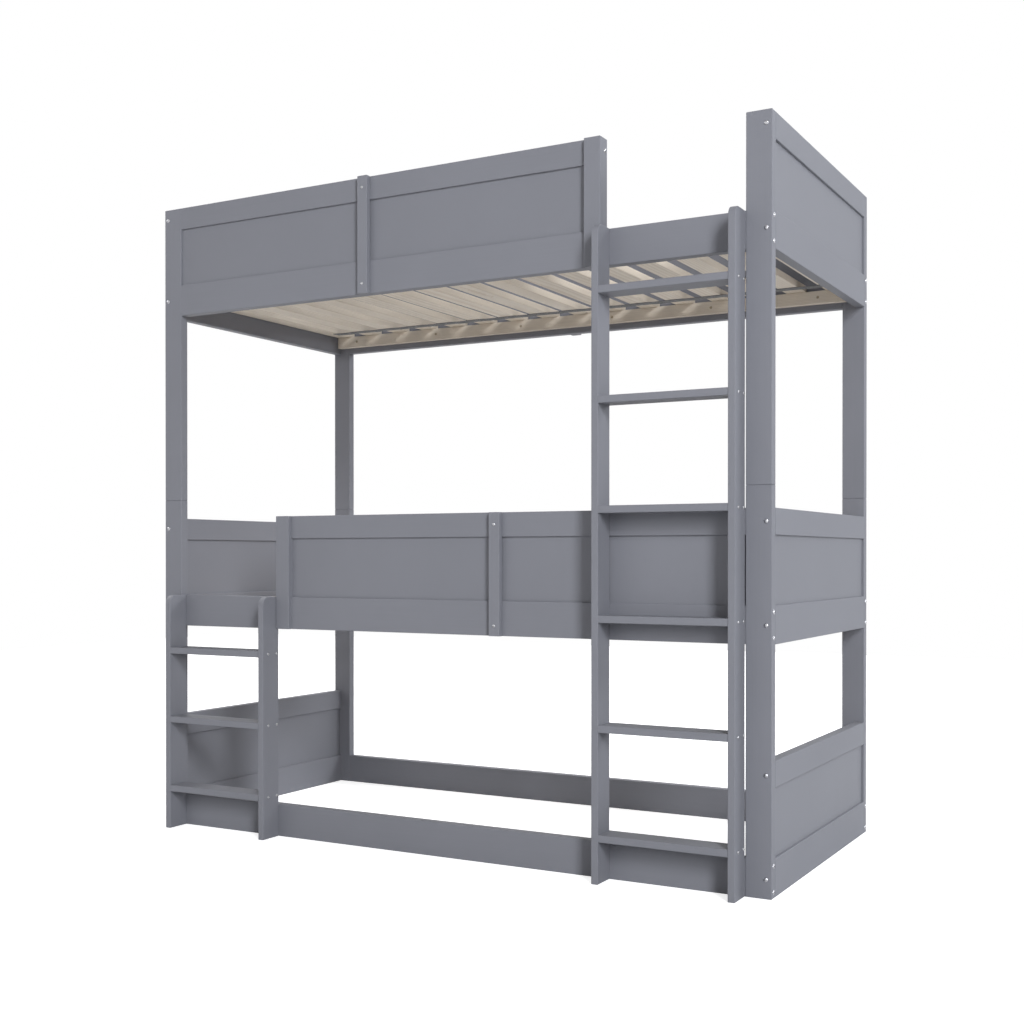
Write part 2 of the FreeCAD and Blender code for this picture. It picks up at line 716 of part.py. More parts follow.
# Side rails, front and rear of each bunk, bolted between the posts. Those of the middle and
# top bunks carry the guards' panels in a groove, and a ledger for the slats inside.

ledger_low = f"(ledger_left_gap - {end_inner})"
ledger_high = f"({end_inner} - ledger_right_gap)"
ledger_screw = screw("ledger_screw")
ledger_screws = []
ledgers = {"middle": [], "top": []}
for floor_name, floor in floors.items():
    for side_name, side in sides.items():
        outward = toward("Y", side)
        cuts = []
        for end in ends.values():
            for height in side_bolt_heights(floor):
                mouth = (at_end(end, post_inner), centre_y(side), height)
                cuts += rail_end_bores(mouth, toward("X", -end))
        sunk = []
        if side < 0:
            sunk = ladder_fixings[floor_name] + stile_fixings.get(floor_name, [])
        for fixing in sunk:
            cuts.append(bore(fixing, outward, "screw_diameter", "timber + overrun"))
            cuts.append(bore(fixing, outward, "screw_head_diameter", "screw_head_height"))
        if floor_name in guarded:
            long, slot = guard_slots[floor_name, side_name]
            groove = (f"{floor} + base_rail - groove_depth", f"{floor} + base_rail + overrun")
            past = (f"{long[0]} - groove_depth", f"{long[1]} + groove_depth")
            cuts.append(block(past, slot, groove))
            place = batten_fixings[floor_name, side_name]
            cuts.append(bore(place, toward("Y", -side), "screw_diameter", "batten_screw - batten_proud"))
            ledger_y = across(side, f"{side_inner} - ledger_thickness", side_inner)
            ledger_z = (f"{floor} + ledger_lift", f"{floor} + {slat_seat}")
            through = []
            for index in range(int(dims.ledger_screw_count)):
                free = f"({ledger_high} - {ledger_low} - 2 * ledger_screw_inset)"
                along = f"{ledger_low} + ledger_screw_inset + {index} * {free} / (ledger_screw_count - 1)"
                face = at_side(side, f"{side_inner} - ledger_thickness")
                seat = (along, face, f"{floor} + ledger_lift + ledger_height / 2")
                through.append(bore(seat, outward, "screw_diameter", "ledger_thickness + overrun"))
                pilot = moved(seat, outward, "ledger_thickness")
                cuts.append(bore(pilot, outward, "screw_diameter", "ledger_screw - ledger_thickness"))
                ledger_screws.append(driven(ledger_screw, seat, outward))
            ledger = board((ledger_low, ledger_high), ledger_y, ledger_z, "x")
            ledgers[floor_name].append(less(ledger, through))
        rail_x = (f"-{post_inner}", post_inner)
        rail = board(rail_x, across(side, side_inner, side_outer), (floor, f"{floor} + base_rail"), "x")
        finish(f"{floor_name}_{side_name}_side_rail", less(rail, cuts))
for floor_name, members in ledgers.items():
    group(f"{floor_name}_slat_ledgers", members)

# Slat decks: a roll of slats laid across the ledgers, held at even spacing by two tapes.

tapes = []
slat_first = f"({ledger_low} + slat_end_margin)"
slat_last = f"({ledger_high} - slat_end_margin)"
for floor_name, floor in guarded.items():
    slats = doc.addObject("PartDesign::Body", "slats")
    outline = sketch_on(slats, "XZ_Plane")
    eased_rectangle(outline, "slat_width", "slat_thickness", "slat_round")
    pad = slats.newObject("PartDesign::Pad", "pad")
    pad.Profile = outline
    bind(pad, Length="bay_width - 2 * slat_side_gap")
    repeated(slats, pad, "X_Axis", "slat_count", f"{slat_last} - {slat_first} - slat_width")
    put(slats, (slat_first, f"{middle_y} + {side_inner} - slat_side_gap", f"{floor} + {slat_seat}"))
    finish(f"{floor_name}_slats", slats)
    for side in sides.values():
        near = f"{side_inner} - ledger_thickness - tape_ledger_gap - tape_width"
        far = f"{side_inner} - ledger_thickness - tape_ledger_gap"
        tape_x = (f"{slat_first} + tape_inset", f"{slat_last} - tape_inset")
        tape_z = (f"{floor} + {slat_seat} - tape_thickness", f"{floor} + {slat_seat}")
        tapes.append(block(tape_x, across(side, near, far), tape_z))
group("slat_tapes", tapes)

# Fasteners, each kind under one name

for label, members in fasteners.items():
    group(label, members)
group("guard_rail_dowels", dowels)
group("post_joint_pins", pins)
group("guard_screws", guard_screws)
group("ladder_screws", ladder_screws)
group("ledger_screws", ledger_screws)

# Every object has to be sound before any piece is written

doc.recompute()
for item in doc.Objects:
    if {"Invalid", "Error"} & set(item.State):
        raise RuntimeError(f"{item.Label} did not build")
for item in pieces:
    if item.Shape.isNull() or not item.Shape.isValid():
        raise RuntimeError(f"{item.Label} is not a valid solid")
    if item.TypeId == "Part::Cut" and item.Shape.Volume >= item.Base.Shape.Volume:
        raise RuntimeError(f"{item.Label} lost nothing to its bores and grooves")
for item in pieces:
    item.Shape.exportStep(f"parts/{item.Label}.step")
print(len(pieces), "pieces,", sum(len(item.Shape.Solids) for item in pieces), "solids")
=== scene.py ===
import math

import bpy
import numpy as np
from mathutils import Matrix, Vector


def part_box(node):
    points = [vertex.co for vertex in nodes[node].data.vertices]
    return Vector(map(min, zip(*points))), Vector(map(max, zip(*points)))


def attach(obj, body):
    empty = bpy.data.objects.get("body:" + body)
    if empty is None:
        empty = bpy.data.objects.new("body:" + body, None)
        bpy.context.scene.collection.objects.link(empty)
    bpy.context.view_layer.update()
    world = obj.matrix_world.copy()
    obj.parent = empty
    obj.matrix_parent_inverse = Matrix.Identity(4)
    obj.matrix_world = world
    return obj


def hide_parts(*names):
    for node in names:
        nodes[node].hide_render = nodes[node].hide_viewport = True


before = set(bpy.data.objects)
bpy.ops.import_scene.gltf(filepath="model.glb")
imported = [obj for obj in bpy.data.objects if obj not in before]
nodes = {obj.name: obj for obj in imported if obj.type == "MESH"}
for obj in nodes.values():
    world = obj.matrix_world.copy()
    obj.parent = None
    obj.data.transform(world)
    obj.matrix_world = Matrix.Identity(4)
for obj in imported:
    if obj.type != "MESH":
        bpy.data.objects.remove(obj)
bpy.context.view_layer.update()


# Corner posts: planed softwood of one section, in two lengths stacked at each corner and sprayed
# with two coats of satin grey paint. The grain still lifts the film a little along each post.

def add_group(name, inputs, outputs):
    """An empty shader group with named sockets: its tree, its input node and its output node."""
    tree = bpy.data.node_groups.new(name, "ShaderNodeTree")
    for label, kind in inputs.items():
        tree.interface.new_socket(label, in_out="INPUT", socket_type=f"NodeSocket{kind}")
    for label, kind in outputs.items():
        tree.interface.new_socket(label, in_out="OUTPUT", socket_type=f"NodeSocket{kind}")
    return tree, tree.nodes.new("NodeGroupInput").outputs, tree.nodes.new("NodeGroupOutput").inputs


def add_node(tree, kind, inputs=None, **settings):
    """A node of that kind, with its settings made and its input sockets set to values or linked."""
    node = tree.nodes.new(f"ShaderNode{kind}")
    for key, value in settings.items():
        setattr(node, key, value)
    for key, value in (inputs or {}).items():
        if isinstance(value, bpy.types.NodeSocket):
            tree.links.new(value, node.inputs[key])
        else:
            node.inputs[key].default_value = value
    return node


def add_math(tree, operation, first, second=0.0):
    """One sum on sockets or numbers."""
    return add_node(tree, "Math", {0: first, 1: second}, operation=operation).outputs[0]


def add_range(tree, value, span, new_span):
    """A value carried from one span to another and held at its ends."""
    ends = dict(enumerate((*span, *new_span), start=1))
    return add_node(tree, "MapRange", {0: value, **ends}).outputs[0]


def add_stretch(tree, place, scales):
    """A place with each of its axes multiplied."""
    return add_node(tree, "VectorMath", {0: place, 1: scales}, operation="MULTIPLY").outputs[0]


def add_tint(tree, colour, tone):
    """A colour made lighter or darker by a tone around one."""
    return add_node(tree, "VectorMath", {0: colour, "Scale": tone}, operation="SCALE").outputs[0]


def add_noise(tree, place, scale=1.0, detail=2.0, distortion=0.0):
    """Noise around a half at a place."""
    inputs = {"Vector": place, "Scale": scale, "Detail": detail, "Distortion": distortion}
    return add_node(tree, "TexNoise", inputs).outputs["Fac"]


def object_place(tree):
    """Where a point lies in the frame, in metres."""
    return add_node(tree, "TexCoord").outputs["Object"]


def along_grain(tree, grain):
    """Where a point lies, turned so that the first axis runs along the board's grain."""
    parts = add_node(tree, "SeparateXYZ", {0: object_place(tree)}).outputs
    order = {"x": (0, 1, 2), "y": (1, 0, 2), "z": (2, 1, 0)}[grain]
    turned = {index: parts[axis] for index, axis in enumerate(order)}
    return add_node(tree, "CombineXYZ", turned).outputs[0]


def new_material(name):
    """A material with only a surface shader: the material, its tree and the shader's inputs."""
    material = bpy.data.materials.new(name)
    material.use_nodes = True
    tree = material.node_tree
    tree.nodes.clear()
    shader = add_node(tree, "BsdfPrincipled")
    add_node(tree, "OutputMaterial", {0: shader.outputs[0]})
    return material, tree, shader.inputs


def link_bump(tree, surface, height, strength, depth):
    """Raise a surface by a height between nought and one, at a depth in metres."""
    bump = add_node(tree, "Bump", {"Strength": strength, "Distance": depth, "Height": height})
    tree.links.new(bump.outputs[0], surface["Normal"])


noise_span = (0.3, 0.7)
cloud_scale = 2.4
cloud_tones = (0.975, 1.025)
fibre_scales = (4.0, 210.0, 210.0)
fibre_curl = 0.4
lift_span = (0.25, 0.6)
lift_tones = (-0.012, 0.012)
spray_scale = 430.0
spray_share = 0.55
film_span = (0.2, 1.2)
film_roughness = (0.46, 0.56)

film, film_in, film_out = add_group(
    "paint_film",
    {"Along Grain": "Vector", "Raised Grain": "Float"},
    {"Tone": "Float", "Roughness": "Float", "Height": "Float"},
)
film_place = film_in["Along Grain"]
film_cloud = add_noise(film, film_place, scale=cloud_scale, detail=3.0)
film_fibre = add_noise(film, add_stretch(film, film_place, fibre_scales), detail=3.0, distortion=fibre_curl)
film_spray = add_noise(film, film_place, scale=spray_scale)
film_lift = add_math(film, "MULTIPLY", film_fibre, film_in["Raised Grain"])
film_height = add_math(film, "ADD", film_lift, add_math(film, "MULTIPLY", film_spray, spray_share))
film_tone = add_math(film, "ADD", add_range(film, film_cloud, noise_span, cloud_tones),
                     add_range(film, film_lift, lift_span, lift_tones))
film.links.new(film_tone, film_out["Tone"])
film.links.new(add_range(film, film_height, film_span, film_roughness), film_out["Roughness"])
film.links.new(film_height, film_out["Height"])

paint_grey = (0.2205, 0.2225, 0.2465)
paint_shine = 0.10
film_bump = 0.3
film_depth = 0.0002
wood_lift = 0.8


def satin_paint(name, grain, raised):
    """Satin grey paint on a board: raised says how far the wood's grain lifts the film."""
    material, tree, surface = new_material(name)
    coat = add_node(tree, "Group", node_tree=film)
    tree.links.new(along_grain(tree, grain), coat.inputs["Along Grain"])
    coat.inputs["Raised Grain"].default_value = raised
    tree.links.new(add_tint(tree, paint_grey, coat.outputs["Tone"]), surface["Base Color"])
    tree.links.new(coat.outputs["Roughness"], surface["Roughness"])
    surface["Specular IOR Level"].default_value = paint_shine
    link_bump(tree, surface, coat.outputs["Height"], film_bump, film_depth)
    return material


def finish_nodes(material, *names):
    """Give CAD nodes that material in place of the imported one."""
    for name in names:
        nodes[name].data.materials.clear()
        nodes[name].data.materials.append(material)


def named(*endings):
    """The CAD nodes whose names have one of those endings."""
    return [name for name in nodes if name.endswith(endings)]


paint_upright = satin_paint("paint_upright", "z", wood_lift)
finish_nodes(paint_upright, *named("_post"))


# Framed ends: a base rail and a cap rail between the posts, painted like them with the grain
# across the bed, and a smooth board panel that stands in their grooves.

board_lift = 0.12
paint_cross = satin_paint("paint_cross", "y", wood_lift)
paint_panel = satin_paint("paint_panel", "x", board_lift)
finish_nodes(paint_cross, *named("_base_rail", "_cap_rail"))
finish_nodes(paint_panel, "left_end_panels", "right_end_panels")


# Side rails and guards: long painted rails with a panel between them, a notched stile at each
# entry gap, and a batten screwed over the middle of every guard.

paint_long = satin_paint("paint_long", "x", wood_lift)
finish_nodes(paint_long, *named("_side_rail", "_guard_rail"))
finish_nodes(paint_panel, *named("_guard_panel"))
finish_nodes(paint_upright, *named("_guard_stile", "_guard_battens"))


# Ladders: painted boards on edge with a rounded top front corner, flat treads screwed between them,
# and screws from inside the front side rails that hold each ladder by its back.

finish_nodes(paint_upright, *named("_upright"))
finish_nodes(paint_long, *named("_ladder_rungs"))


# Slat decks: planed pine without any finish, as ledgers screwed along the rails and slats laid
# across them. Every board shows its own growth rings and fibres, and now and then a small knot.

def add_blend(tree, factor, first, second):
    """A colour between two colours."""
    return add_node(tree, "Mix", {0: factor, 6: first, 7: second}, data_type="RGBA").outputs[2]


early_wood = (0.755, 0.677, 0.578, 1.0)
late_wood = (0.655, 0.560, 0.453, 1.0)
knot_wood = (0.270, 0.160, 0.090, 1.0)
unit_span = (0.0, 1.0)
log_reach = (9.0, 0.10, 0.06)
log_start = (0.0, -0.05, 0.05)
wander_scales = (1.1, 7.0, 7.0)
wander_reach = (0.0, 0.016, 0.016)
ring_scale = 78.0
ring_wobble = 0.6
late_span = (0.35, 1.0)
late_rise = 0.6
strand_scales = (7.0, 620.0, 620.0)
strand_tones = (0.94, 1.06)
board_tones = (0.93, 1.05)
knot_scale = 6.0
knot_rim = (0.03, 0.06)
knot_rarity = 0.88
pine_roughness = (0.56, 0.68)

pine, pine_in, pine_out = add_group(
    "pine_figure",
    {"Along Grain": "Vector", "Board": "Float"},
    {"Colour": "Color", "Roughness": "Float", "Height": "Float"},
)
chance = add_node(pine, "TexWhiteNoise", {"W": pine_in["Board"]}, noise_dimensions="1D").outputs
sawn_from = add_node(pine, "VectorMath", {0: chance["Color"], 1: log_reach, 2: log_start},
                     operation="MULTIPLY_ADD").outputs[0]
in_log = add_node(pine, "VectorMath", {0: pine_in["Along Grain"], 1: sawn_from}, operation="ADD").outputs[0]
wander = add_node(pine, "TexNoise", {"Vector": add_stretch(pine, in_log, wander_scales), "Scale": 1.0})
bent = add_node(pine, "VectorMath", {0: wander.outputs["Color"], 1: wander_reach, 2: in_log},
                operation="MULTIPLY_ADD").outputs[0]
ring_inputs = {"Vector": bent, "Scale": ring_scale, "Distortion": ring_wobble, "Detail": 1.0}
rings = add_node(pine, "TexWave", ring_inputs,
                 wave_type="RINGS", rings_direction="X", wave_profile="SAW").outputs["Fac"]
late_share = add_range(pine, rings, late_span, unit_span)
strands = add_noise(pine, add_stretch(pine, in_log, strand_scales))
knots = add_node(pine, "TexVoronoi", {"Vector": in_log, "Scale": knot_scale}).outputs
knot_chance = add_node(pine, "SeparateColor", {0: knots["Color"]}).outputs[0]
knot_share = add_math(pine, "MULTIPLY", add_range(pine, knots["Distance"], knot_rim, unit_span[::-1]),
                      add_math(pine, "GREATER_THAN", knot_chance, knot_rarity))
wood_tone = add_math(pine, "MULTIPLY", add_range(pine, chance["Value"], unit_span, board_tones),
                     add_range(pine, strands, noise_span, strand_tones))
wood_colour = add_tint(pine, add_blend(pine, late_share, early_wood, late_wood), wood_tone)
wood_height = add_math(pine, "ADD", add_math(pine, "MULTIPLY", late_share, late_rise), strands)
pine.links.new(add_blend(pine, knot_share, wood_colour, knot_wood), pine_out["Colour"])
pine.links.new(add_range(pine, strands, noise_span, pine_roughness), pine_out["Roughness"])
pine.links.new(wood_height, pine_out["Height"])

slat_width = 0.063
slat_count = 16
deck_boxes = {deck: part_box(f"{deck}_slats") for deck in ("middle", "top")}
slat_row_start = deck_boxes["top"][0][0]
slat_pitch = (deck_boxes["top"][1][0] - slat_row_start - slat_width) / (slat_count - 1)
between_decks = (deck_boxes["middle"][1][2] + deck_boxes["top"][0][2]) / 2
deck_step = 37.0
pine_bump = 0.35
pine_depth = 0.0003


def bare_pine(name, grain, counted, start, pitch):
    """Unfinished pine: a board is told from the others by its number along one axis and its deck."""
    material, tree, surface = new_material(name)
    place = add_node(tree, "SeparateXYZ", {0: object_place(tree)}).outputs
    row = add_math(tree, "DIVIDE", add_math(tree, "SUBTRACT", place[counted], start), pitch)
    deck = add_math(tree, "GREATER_THAN", place["Z"], between_decks)
    deck_first = add_math(tree, "MULTIPLY", deck, deck_step)
    board = add_math(tree, "ADD", add_math(tree, "FLOOR", row), deck_first)
    figure = add_node(tree, "Group", node_tree=pine)
    tree.links.new(along_grain(tree, grain), figure.inputs["Along Grain"])
    tree.links.new(board, figure.inputs["Board"])
    tree.links.new(figure.outputs["Colour"], surface["Base Color"])
    tree.links.new(figure.outputs["Roughness"], surface["Roughness"])
    link_bump(tree, surface, figure.outputs["Height"], pine_bump, pine_depth)
    return material


ledger_pitch = 0.5
slat_lead = 0.03
finish_nodes(bare_pine("pine_ledgers", "x", "Y", -ledger_pitch, ledger_pitch), *named("_slat_ledgers"))
finish_nodes(bare_pine("pine_slats", "y", "X", slat_row_start - slat_lead, slat_pitch), *named("_slats"))


# Slat tapes: two dark webbing bands under each deck, woven flat and stapled to every slat so that
# the slats keep their spacing. Between two slats a band hangs through a little.

tape_width = 0.038
tape_thickness = 0.0016
tape_sag = 0.0008
tapes_low, tapes_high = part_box("slat_tapes")
tape_start = tapes_low[0]
tape_stop = tapes_high[0]
tape_offset = (tapes_high[1] - tapes_low[1] - tape_width) / 2
bed_middle_y = (tapes_low[1] + tapes_high[1]) / 2
slat_undersides = {deck: box[0][2] for deck, box in deck_boxes.items()}
warp_pitch = 0.0011
float_length = 0.0034
twill_share = 0.25
wave_span = (-1.0, 1.0)
float_heights = (0.35, 1.0)
fuzz_scale = 900.0
fuzz_tones = (0.85, 1.15)
# Tones for painted shade between the yarns and painted light on their crowns.
weave_shade_tones = (0.45, 1.15)
yarn_roughness = (0.85, 0.7)
yarn_sheen = 0.25
yarn_bump = 0.6
yarn_depth = 0.0003
webbing_grey = (0.105, 0.104, 0.108)

webbing, weave, webbing_surface = new_material("slat_webbing")
weave_place = add_node(weave, "TexCoord").outputs["UV"]
weave_uv = add_node(weave, "SeparateXYZ", {0: weave_place}).outputs
warp = add_math(weave, "DIVIDE", weave_uv["Y"], warp_pitch)
warp_round = add_math(weave, "SINE", add_math(weave, "MULTIPLY", add_math(weave, "FRACT", warp), math.pi))
twill_step = add_math(weave, "MULTIPLY", add_math(weave, "FLOOR", warp), twill_share)
float_turn = add_math(weave, "ADD", add_math(weave, "DIVIDE", weave_uv["X"], float_length), twill_step)
float_round = add_math(weave, "SINE", add_math(weave, "MULTIPLY", float_turn, 2.0 * math.pi))
yarn = add_math(weave, "MULTIPLY", warp_round, add_range(weave, float_round, wave_span, float_heights))
yarn_fuzz = add_range(weave, add_noise(weave, weave_place, scale=fuzz_scale), noise_span, fuzz_tones)
# The tape's colour follows the yarn's height: painted shade in the weave's hollows, painted light on the
# yarn's crowns.
weave_shade_tone = add_math(weave, "MULTIPLY", add_range(weave, yarn, unit_span, weave_shade_tones), yarn_fuzz)
weave.links.new(add_tint(weave, webbing_grey, weave_shade_tone), webbing_surface["Base Color"])
weave.links.new(add_range(weave, yarn, unit_span, yarn_roughness), webbing_surface["Roughness"])
webbing_surface["Sheen Weight"].default_value = yarn_sheen
link_bump(weave, webbing_surface, yarn, yarn_bump, yarn_depth)


def carry_profile(path, profile):
    """Rows of points of a closed profile carried along a path in the XZ plane.

    A point stands off the path by the profile's first part along Y and by its second part along
    the path's normal, which is the path's direction turned a quarter.
    """
    step = np.gradient(path, axis=0)
    step /= np.linalg.norm(step, axis=1, keepdims=True)
    x = path[:, None, 0] - step[:, None, 1] * profile[None, :, 1]
    z = path[:, None, 1] + step[:, None, 0] * profile[None, :, 1]
    return np.stack([x, np.broadcast_to(profile[None, :, 0], x.shape), z], axis=-1)


def ring_faces(rows, columns):
    """The faces of a tube of rings of points, and the two faces that close its ends."""
    at = np.arange(rows * columns).reshape(rows, columns)
    after = np.roll(at, -1, axis=1)
    quads = np.stack([at[:-1], after[:-1], after[1:], at[1:]], axis=-1).reshape(-1, 4)
    return quads.tolist() + [at[0, ::-1].tolist(), at[-1].tolist()]


def add_piece(name, points, faces, material):
    """A smooth mesh piece at the origin that rides on the bed and takes a slot's finish."""
    mesh = bpy.data.meshes.new(name)
    mesh.from_pydata(points.reshape(-1, 3).tolist(), [], faces)
    mesh.polygons.foreach_set("use_smooth", np.ones(len(mesh.polygons), dtype=bool))
    mesh.materials.append(material)
    piece = bpy.data.objects.new(name, mesh)
    bpy.context.scene.collection.objects.link(piece)
    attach(piece, "root")
    return piece


def hang(x):
    """How far a tape hangs down: a parabola across each gap between two slats, else nothing."""
    gap = slat_pitch - slat_width
    share = np.clip(((x - slat_row_start) % slat_pitch - slat_width) / gap, 0.0, 1.0)
    return tape_sag * 4.0 * share * (1.0 - share)


def rounded_oblong(width, thickness, power, count):
    """A closed profile: a superellipse, whose cosine and sine are raised to a small power."""
    turn = np.linspace(0.0, 2.0 * np.pi, count, endpoint=False)
    reach = np.stack([np.cos(turn), np.sin(turn)], axis=1)
    return np.sign(reach) * np.abs(reach) ** power * np.array([width, thickness]) / 2


tape_edge_power = 0.28
tape_profile_points = 28
tape_rows = 376
tape_profile = rounded_oblong(tape_width, tape_thickness, tape_edge_power, tape_profile_points)
tape_x = np.linspace(tape_start, tape_stop, tape_rows)
for deck, underside in slat_undersides.items():
    for side, sign in (("front", -1.0), ("rear", 1.0)):
        tape_path = np.stack([tape_x, underside - tape_thickness / 2 - hang(tape_x)], axis=1)
        tape_points = carry_profile(tape_path, tape_profile)
        tape_points[..., 1] += bed_middle_y + sign * tape_offset
        tape_faces = ring_faces(*tape_points.shape[:2])
        tape = add_piece(f"{deck}_{side}_slat_tape", tape_points, tape_faces, webbing)
        run = np.append(0.0, np.cumsum(np.linalg.norm(np.diff(tape_path, axis=0), axis=1)))
        flat_place = np.stack(np.broadcast_arrays(run[:, None], tape_profile[None, :, 0]), axis=-1)
        corners = np.empty(len(tape.data.loops), dtype=np.int32)
        tape.data.loops.foreach_get("vertex_index", corners)
        weave_layer = tape.data.uv_layers.new(name="weave")
        weave_layer.data.foreach_set("uv", flat_place.reshape(-1, 2)[corners].ravel())
        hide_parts("slat_tapes")


# Staples: bent steel wire, two through a tape at every slat, with the crown pressed flat against
# the webbing.

bloom_scale = 240.0
bloom_tones = (1.05, 0.9)
scuff_scales = (900.0, 5200.0, 5200.0)
scuff_bump = 0.15
scuff_depth = 0.00005

plate, plate_in, plate_out = add_group(
    "plate_skin",
    {"Place": "Vector", "Bright": "Float", "Dull": "Float"},
    {"Tone": "Float", "Roughness": "Float", "Height": "Float"},
)
plate_bloom = add_noise(plate, plate_in["Place"], scale=bloom_scale, detail=4.0)
plate_scuff = add_noise(plate, add_stretch(plate, plate_in["Place"], scuff_scales))
plate.links.new(add_range(plate, plate_bloom, noise_span, bloom_tones), plate_out["Tone"])
plate_gloss = add_range(plate, plate_bloom, noise_span, (plate_in["Bright"], plate_in["Dull"]))
plate.links.new(plate_gloss, plate_out["Roughness"])
plate.links.new(plate_scuff, plate_out["Height"])


def plated_steel(name, colour, bright, dull):
    """Plated steel whose roughness runs between a bright and a dull one, with fine scuffs."""
    material, tree, surface = new_material(name)
    skin = add_node(tree, "Group", node_tree=plate)
    tree.links.new(object_place(tree), skin.inputs["Place"])
    skin.inputs["Bright"].default_value = bright
    skin.inputs["Dull"].default_value = dull
    tree.links.new(add_tint(tree, colour, skin.outputs["Tone"]), surface["Base Color"])
    tree.links.new(skin.outputs["Roughness"], surface["Roughness"])
    surface["Metallic"].default_value = 1.0
    link_bump(tree, surface, skin.outputs["Height"], scuff_bump, scuff_depth)
    return material


# The zinc's colour is set darker than bare plate: painted shade standing in for darker surroundings
# mirrored in it.
shaded_zinc_grey = (0.40, 0.40, 0.41)
zinc_plate = plated_steel("zinc_plate", shaded_zinc_grey, bright=0.26, dull=0.40)
staple_inset = 0.010
staple_half_spread = 0.009
millimetre = 0.001
wire_width = 0.0013
wire_thickness = 0.00064
wire_sides = 6
staple_leg = np.array([(5.0, 1.1), (5.0, 0.2), (4.5, -0.3)]) * millimetre
staple_path = np.concatenate([staple_leg * (-1.0, 1.0), staple_leg[::-1]])
staple = carry_profile(staple_path, rounded_oblong(wire_width, wire_thickness, 1.0, wire_sides))
slat_middles = slat_row_start + slat_pitch * np.arange(slat_count) + slat_width / 2
staple_x = np.clip(slat_middles, tape_start + staple_inset, tape_stop - staple_inset)
staple_reach = np.array([-staple_half_spread, staple_half_spread])
staple_y = bed_middle_y + np.add.outer((-tape_offset, tape_offset), staple_reach)
staple_z = np.array(list(slat_undersides.values())) - tape_thickness
spots = np.stack(np.meshgrid(staple_x, staple_y, staple_z, indexing="ij"), axis=-1).reshape(-1, 1, 3)
staple_points = spots + staple.reshape(1, -1, 3)
first_points = np.arange(len(spots)) * staple_points.shape[1]
staple_faces = [[first + corner for corner in face]
                for first in first_points.tolist() for face in ring_faces(*staple.shape[:2])]
add_piece("slat_staples", staple_points, staple_faces, zinc_plate)


# Bolts, screws and threaded sleeves: turned steel. The domed bolt heads are bright plated, the
# screws and the sleeves in the rails' ends zinc plated, and the ledgers' screws yellow zinc.

# The bolts' colour is set darker than bright plate: painted shade standing in for darker surroundings
# mirrored in the domed heads.
shaded_bolt_grey = (0.42, 0.42, 0.44)
yellow_grey = (0.33, 0.28, 0.20)
finish_nodes(plated_steel("bright_plate", shaded_bolt_grey, bright=0.20, dull=0.32), *named("_bolts"))
finish_nodes(zinc_plate, "insert_nuts", "guard_screws", "ladder_screws")
finish_nodes(plated_steel("yellow_zinc", yellow_grey, bright=0.36, dull=0.50), "ledger_screws")


# Dowels and pins: turned beech, set in the ends of the guards' cap rails and in the joints between
# the two lengths of each post, so that none of them shows.

pale_beech = (0.62, 0.46, 0.31, 1.0)
deep_beech = (0.47, 0.32, 0.20, 1.0)
ray_scales = (900.0, 900.0, 160.0)
beech_roughness = (0.5, 0.62)
beech_bump = 0.2
beech_depth = 0.0001
beech, beech_tree, beech_surface = new_material("turned_beech")
beech_rays = add_noise(beech_tree, add_stretch(beech_tree, object_place(beech_tree), ray_scales))
beech_colour = add_blend(beech_tree, beech_rays, pale_beech, deep_beech)
beech_gloss = add_range(beech_tree, beech_rays, noise_span, beech_roughness)
beech_tree.links.new(beech_colour, beech_surface["Base Color"])
beech_tree.links.new(beech_gloss, beech_surface["Roughness"])
link_bump(beech_tree, beech_surface, beech_rays, beech_bump, beech_depth)
finish_nodes(beech, "guard_rail_dowels", "post_joint_pins")


# The studio: a pale floor that fades into a white room, soft lamps round the bed with the two main
# ones at the right of the front, and the camera where the photograph was taken from.

def seen_directly(tree, mirror_share):
    """One for rays from the camera, a share for mirrored and transmitted rays, zero for rays that light."""
    rays = add_node(tree, "LightPath").outputs
    mirrored = add_math(tree, "MAXIMUM", rays["Is Glossy Ray"], rays["Is Transmission Ray"])
    mirrored = add_math(tree, "MULTIPLY", mirrored, mirror_share)
    return add_math(tree, "MAXIMUM", rays["Is Camera Ray"], mirrored)


floor_reach = 8.0
floor_fade = (1.7, 3.2)
floor_glow = 0.75
floor_mirror = 0.5
floor_roughness = 0.9
floor_grey = (0.70, 0.70, 0.70, 1.0)
white = (1.0, 1.0, 1.0, 1.0)
floor_mesh = bpy.data.meshes.new("studio_floor")
floor_corners = floor_reach * np.array([(-1, -1, 0), (1, -1, 0), (1, 1, 0), (-1, 1, 0)])
floor_mesh.from_pydata(floor_corners.tolist(), [], [(0, 1, 2, 3)])
floor = bpy.data.objects.new("studio_floor", floor_mesh)
bpy.context.scene.collection.objects.link(floor)
floor_material, floor_tree, floor_surface = new_material("studio_floor")
floor_place = object_place(floor_tree)
from_middle = add_node(floor_tree, "VectorMath", {0: floor_place}, operation="LENGTH").outputs["Value"]
floor_white = add_range(floor_tree, from_middle, floor_fade, (floor_glow, 1.0))
floor_shown = add_math(floor_tree, "MULTIPLY", floor_white, seen_directly(floor_tree, floor_mirror))
floor_surface["Base Color"].default_value = floor_grey
floor_surface["Roughness"].default_value = floor_roughness
floor_surface["Specular IOR Level"].default_value = 0.0
floor_surface["Emission Color"].default_value = white
floor_tree.links.new(floor_shown, floor_surface["Emission Strength"])
floor_mesh.materials.append(floor_material)

room_mirror = 0.9
world = bpy.data.worlds.new("studio")
world.use_nodes = True
bpy.context.scene.world = world
room = world.node_tree
room_light = room.nodes["Background"].inputs
room_light["Color"].default_value = white
room.links.new(seen_directly(room, room_mirror), room_light["Strength"])

lamp_aim = np.array([0.0, 0.0, 1.0])
plain_light = (1.0, 1.0, 1.0)
cool_light = (0.97, 1.0, 1.04)


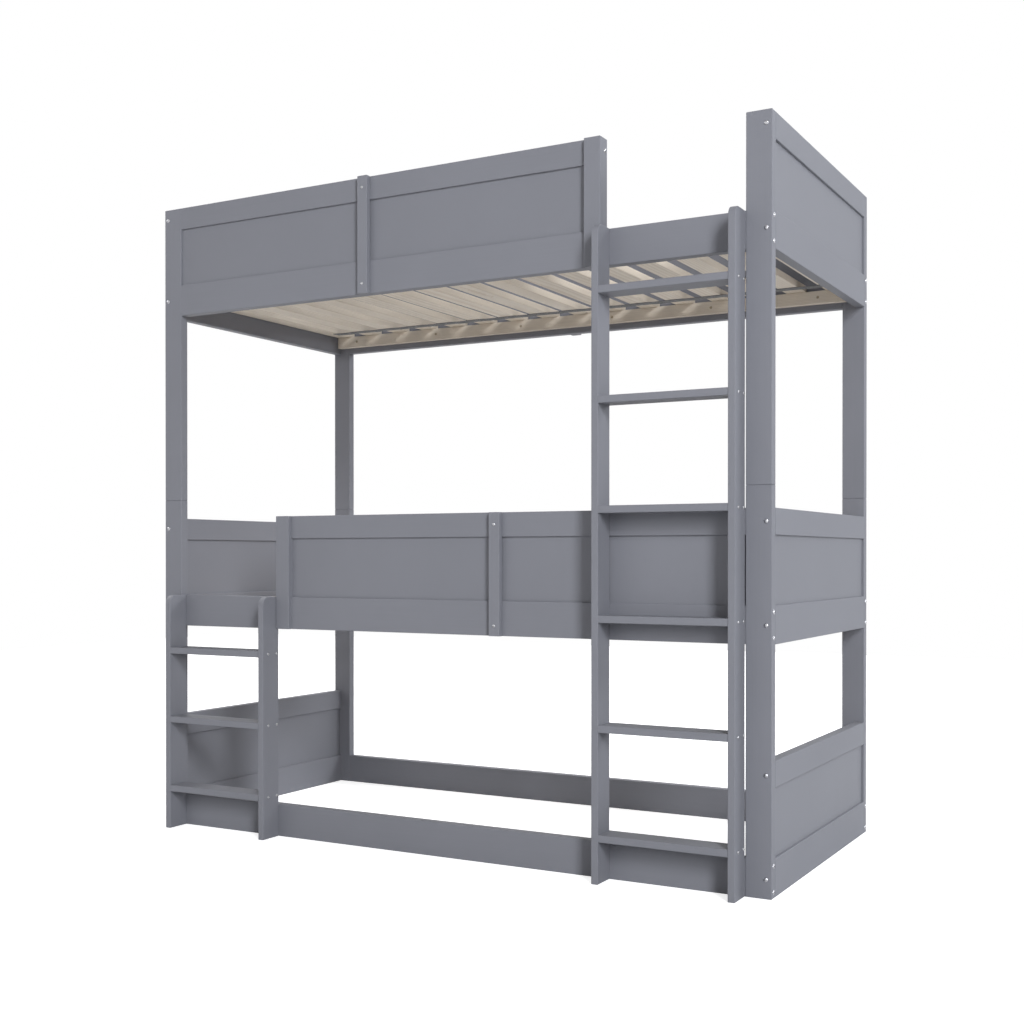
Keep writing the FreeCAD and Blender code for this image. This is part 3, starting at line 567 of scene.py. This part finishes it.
def soft_box(name, azimuth, elevation, distance, wide, tall, power, colour):
    """A flat lamp aimed at the bed, its azimuth in degrees from the front toward the right end."""
    turn = math.radians(azimuth)
    rise = math.radians(elevation)
    toward = np.array([math.sin(turn) * math.cos(rise), -math.cos(turn) * math.cos(rise), math.sin(rise)])
    lamp_data = bpy.data.lights.new(name, "AREA")
    lamp_data.shape = "RECTANGLE"
    lamp_data.size = wide
    lamp_data.size_y = tall
    lamp_data.energy = power
    lamp_data.color = colour
    lamp = bpy.data.objects.new(name, lamp_data)
    lamp.location = lamp_aim + distance * toward
    lamp.rotation_euler = (math.pi / 2 - rise, 0.0, turn)
    bpy.context.scene.collection.objects.link(lamp)


soft_box("key_lamp", 45.0, 18.0, 10.0, 2.0, 5.0, 520.0, cool_light)
soft_box("high_key_lamp", 45.0, 26.0, 10.0, 1.6, 2.4, 230.0, cool_light)
soft_box("front_lamp", -5.0, 18.0, 8.0, 5.0, 3.5, 65.0, plain_light)
soft_box("front_left_lamp", -36.0, 13.0, 8.0, 5.0, 3.5, 75.0, plain_light)
soft_box("left_lamp", -90.0, 30.0, 9.0, 4.0, 4.0, 325.0, plain_light)
soft_box("rear_left_lamp", -120.0, 45.0, 9.0, 4.0, 4.0, 325.0, plain_light)
soft_box("right_lamp", 116.0, 14.0, 9.0, 3.0, 2.2, 225.0, cool_light)
soft_box("rear_right_lamp", 155.0, 42.0, 9.0, 4.0, 3.0, 290.0, cool_light)

camera_right = 2.0913
camera_back = 3.7439
camera_height = 0.8782
camera_dip = math.radians(0.2901)
camera_turn = math.radians(29.0655)
camera_data = bpy.data.cameras.new("photo_camera")
camera_data.lens = 46.433
camera_data.sensor_width = 36.0
camera_data.shift_y = 0.0506
camera = bpy.data.objects.new("photo_camera", camera_data)
camera.location = (camera_right, bed_middle_y - camera_back, camera_height)
camera.rotation_euler = (math.pi / 2 - camera_dip, 0.0, camera_turn)
bpy.context.scene.collection.objects.link(camera)
bpy.context.scene.camera = camera
bpy.context.scene.view_settings.view_transform = "Standard"
